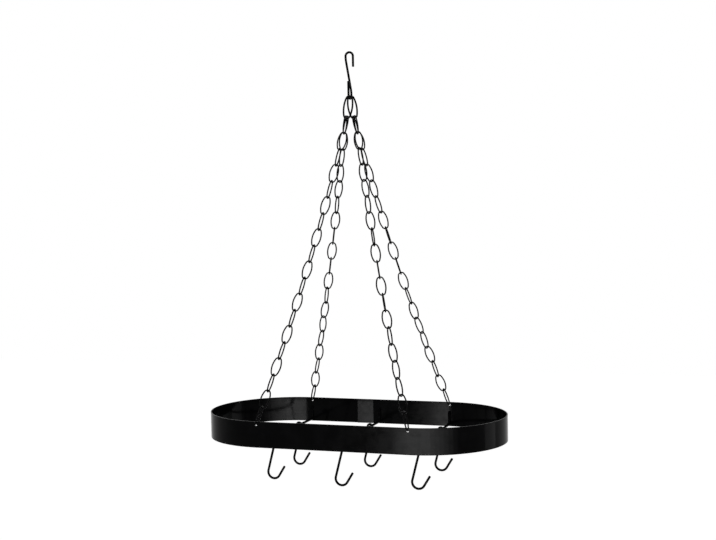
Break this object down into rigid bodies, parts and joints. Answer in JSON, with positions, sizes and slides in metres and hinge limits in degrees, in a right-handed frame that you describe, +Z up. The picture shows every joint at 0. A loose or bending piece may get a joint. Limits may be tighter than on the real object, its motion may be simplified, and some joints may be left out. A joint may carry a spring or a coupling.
{
  "type": "hanging pot rack",
  "caption": "Black steel pot rack: an upright oval band hung on chains from a ceiling hook, with crossbars inside it that carry loose open pot hooks.",
  "frame": {"origin": "the point inside the ceiling hook's top bow where the rack hangs from its support", "axes": "+Z up, X along the band's length, +Y towards the back, so -Y faces whoever stands in front of it"},
  "size_m": [0.5998, 0.3114, 0.8337],
  "materials": {
    "band_paint": "semi-gloss black paint",
    "wire_paint": "gloss black paint"
  },
  "bodies": {
    "ceiling_hook": {"ceiling_hook": "wire_paint"},
    "top_links": {"top_link_left": "wire_paint", "top_link_right": "wire_paint"},
    "rack": {"band": "band_paint", "crossbar_left": "wire_paint", "crossbar_middle": "wire_paint", "crossbar_right": "wire_paint", "front_left_first_link": "wire_paint", "front_left_band_link": "wire_paint", "back_left_first_link": "wire_paint", "back_left_band_link": "wire_paint", "front_right_first_link": "wire_paint", "front_right_band_link": "wire_paint", "back_right_first_link": "wire_paint", "back_right_band_link": "wire_paint"},
    "front_left_chain": {"front_left_chain_upper": "wire_paint", "front_left_chain_middle": "wire_paint", "front_left_chain_lower": "wire_paint"},
    "back_left_chain": {"back_left_chain_upper": "wire_paint", "back_left_chain_middle": "wire_paint", "back_left_chain_lower": "wire_paint"},
    "front_right_chain": {"front_right_chain_upper": "wire_paint", "front_right_chain_middle": "wire_paint", "front_right_chain_lower": "wire_paint"},
    "back_right_chain": {"back_right_chain_upper": "wire_paint", "back_right_chain_middle": "wire_paint", "back_right_chain_lower": "wire_paint"},
    "pot_hook_front_left": {"pot_hook_front_left": "wire_paint"},
    "pot_hook_front_middle": {"pot_hook_front_middle": "wire_paint"},
    "pot_hook_front_right": {"pot_hook_front_right": "wire_paint"},
    "pot_hook_back_left": {"pot_hook_back_left": "wire_paint"},
    "pot_hook_back_middle": {"pot_hook_back_middle": "wire_paint"},
    "pot_hook_back_right": {"pot_hook_back_right": "wire_paint"}
  },
  "joints": [
    {"name": "top_links_swing", "type": "hinge", "parent": "ceiling_hook", "child": "top_links", "pos_m": [0, 0, -0.0874], "axis": [0, 1, 0], "range_deg": [-18, 18]},
    {"name": "rack_swing", "type": "hinge", "parent": "top_links", "child": "rack", "pos_m": [0, 0, -0.1253], "axis": [1, 0, 0], "range_deg": [-12, 12]},
    {"name": "front_left_chain_sway", "type": "hinge", "parent": "rack", "child": "front_left_chain", "pos_m": [-0.01143, -0.00786, -0.15393], "axis": [-0.2341, -0.2385, -0.9425], "range_deg": [-20, 20]},
    {"name": "back_left_chain_sway", "type": "hinge", "parent": "rack", "child": "back_left_chain", "pos_m": [-0.01494, 0.00402, -0.15332], "axis": [-0.228, 0.2447, -0.9424], "range_deg": [-20, 20]},
    {"name": "front_right_chain_sway", "type": "hinge", "parent": "rack", "child": "front_right_chain", "pos_m": [0.01494, -0.00402, -0.15332], "axis": [0.228, -0.2447, -0.9424], "range_deg": [-20, 20]},
    {"name": "back_right_chain_sway", "type": "hinge", "parent": "rack", "child": "back_right_chain", "pos_m": [0.01143, 0.00786, -0.15393], "axis": [0.2341, 0.2385, -0.9425], "range_deg": [-20, 20]},
    {"name": "pot_hook_front_left_swing", "type": "hinge", "parent": "rack", "child": "pot_hook_front_left", "pos_m": [-0.15, -0.067, -0.74552], "axis": [0, 1, 0], "range_deg": [-45, 45]},
    {"name": "pot_hook_front_middle_swing", "type": "hinge", "parent": "rack", "child": "pot_hook_front_middle", "pos_m": [0, -0.092, -0.74552], "axis": [0, 1, 0], "range_deg": [-45, 45]},
    {"name": "pot_hook_front_right_swing", "type": "hinge", "parent": "rack", "child": "pot_hook_front_right", "pos_m": [0.15, -0.085, -0.74552], "axis": [0, 1, 0], "range_deg": [-45, 45]},
    {"name": "pot_hook_back_left_swing", "type": "hinge", "parent": "rack", "child": "pot_hook_back_left", "pos_m": [-0.15, 0.07, -0.74552], "axis": [0, 1, 0], "range_deg": [-45, 45]},
    {"name": "pot_hook_back_middle_swing", "type": "hinge", "parent": "rack", "child": "pot_hook_back_middle", "pos_m": [0, 0.083, -0.74552], "axis": [0, 1, 0], "range_deg": [-45, 45]},
    {"name": "pot_hook_back_right_swing", "type": "hinge", "parent": "rack", "child": "pot_hook_back_right", "pos_m": [0.15, 0.08, -0.74552], "axis": [0, 1, 0], "range_deg": [-45, 45]}
  ]
}
